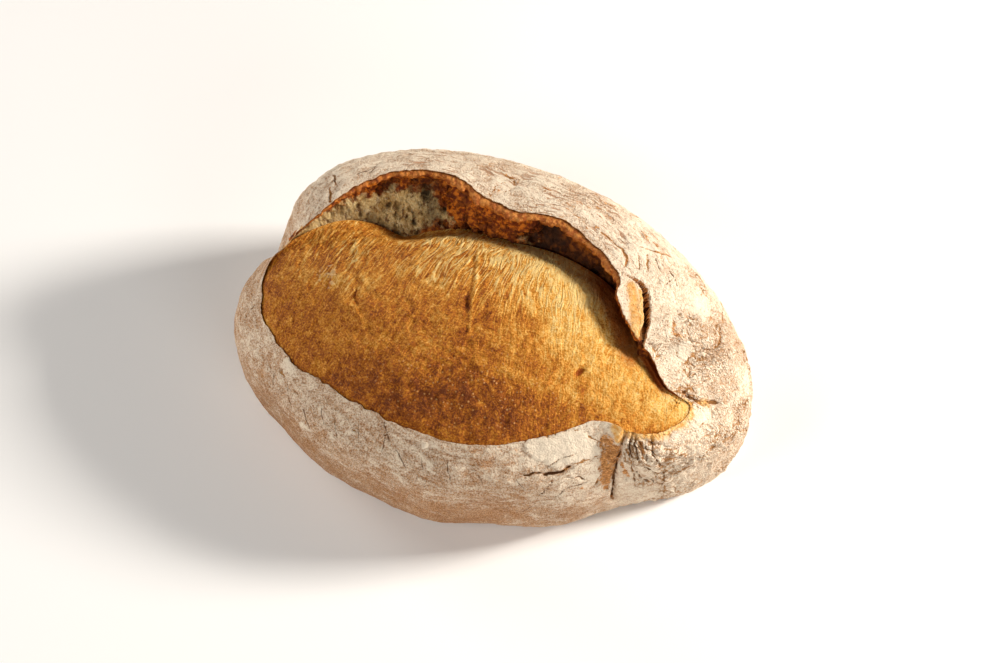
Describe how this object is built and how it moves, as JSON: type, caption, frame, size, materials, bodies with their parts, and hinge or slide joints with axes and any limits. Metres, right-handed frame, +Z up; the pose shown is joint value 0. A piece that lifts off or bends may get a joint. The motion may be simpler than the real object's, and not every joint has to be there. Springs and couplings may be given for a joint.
{
  "type": "yeast bread loaf",
  "caption": "Oval hearth loaf with a floured crust, split along its length: a golden burst rises through the split, and a torn ear of crust stands over its back edge.",
  "frame": {"origin": "on the surface the loaf stands on, under the middle of its outline", "axes": "+Z up; +X along the loaf, towards the pointed end of the split; +Y towards the ear"},
  "size_m": [0.257, 0.1802, 0.1041],
  "materials": {
    "floured_crust": "baked wheat crust under a dry, uneven dusting of flour",
    "golden_crust": "bare golden-brown crust with a faint sheen, where the dough burst through the split",
    "torn_crumb": "torn, open crumb, toasted reddish brown along its rim"
  },
  "bodies": {
    "root": {"loaf": "floured_crust"}
  },
  "joints": []
}
